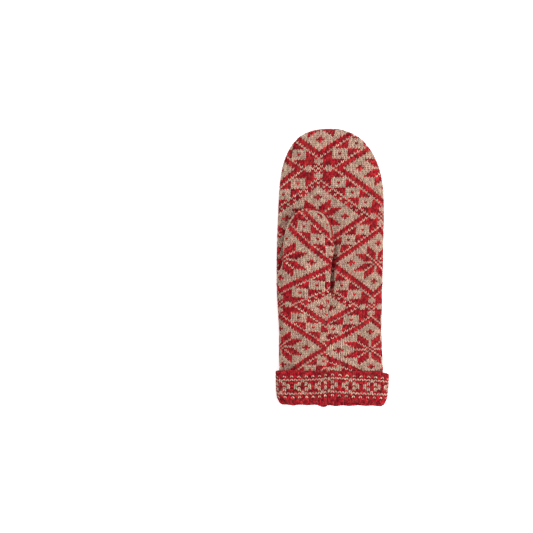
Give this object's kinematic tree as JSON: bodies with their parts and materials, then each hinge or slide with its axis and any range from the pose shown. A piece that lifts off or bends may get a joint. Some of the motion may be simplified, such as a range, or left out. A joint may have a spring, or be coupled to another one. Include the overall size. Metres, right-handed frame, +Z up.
{
  "type": "mitten",
  "caption": "Knitted mitten lying on its back, palm up: hollow hand with a rounded tip, thumb laid over the palm, turned-up cuff and a small metal plate on the back.",
  "frame": {"origin": "middle of the ground that the mitten covers", "axes": "+Z up out of the palm, +Y along the hand towards the finger tip, +X across the hand away from the thumb"},
  "size_m": [0.1043, 0.2546, 0.0239],
  "materials": {
    "patterned_knit": "two-yarn stranded wool knit, deep red and heathered beige, matt and slightly fuzzy",
    "cuff_knit": "deep red wool knit with a small beige border pattern, matt and slightly fuzzy",
    "red_yarn": "twisted deep red wool yarn",
    "satin_plate": "satin brushed face with a brighter bevelled edge, bare"
  },
  "bodies": {
    "root": {"back_panel": "patterned_knit", "palm_panel": "patterned_knit", "thumb_front_panel": "patterned_knit", "thumb_back_panel": "patterned_knit", "turned_cuff": "cuff_knit", "label_plate": "satin_plate", "plate_tie_left": "red_yarn", "plate_tie_right": "red_yarn"}
  },
  "joints": []
}
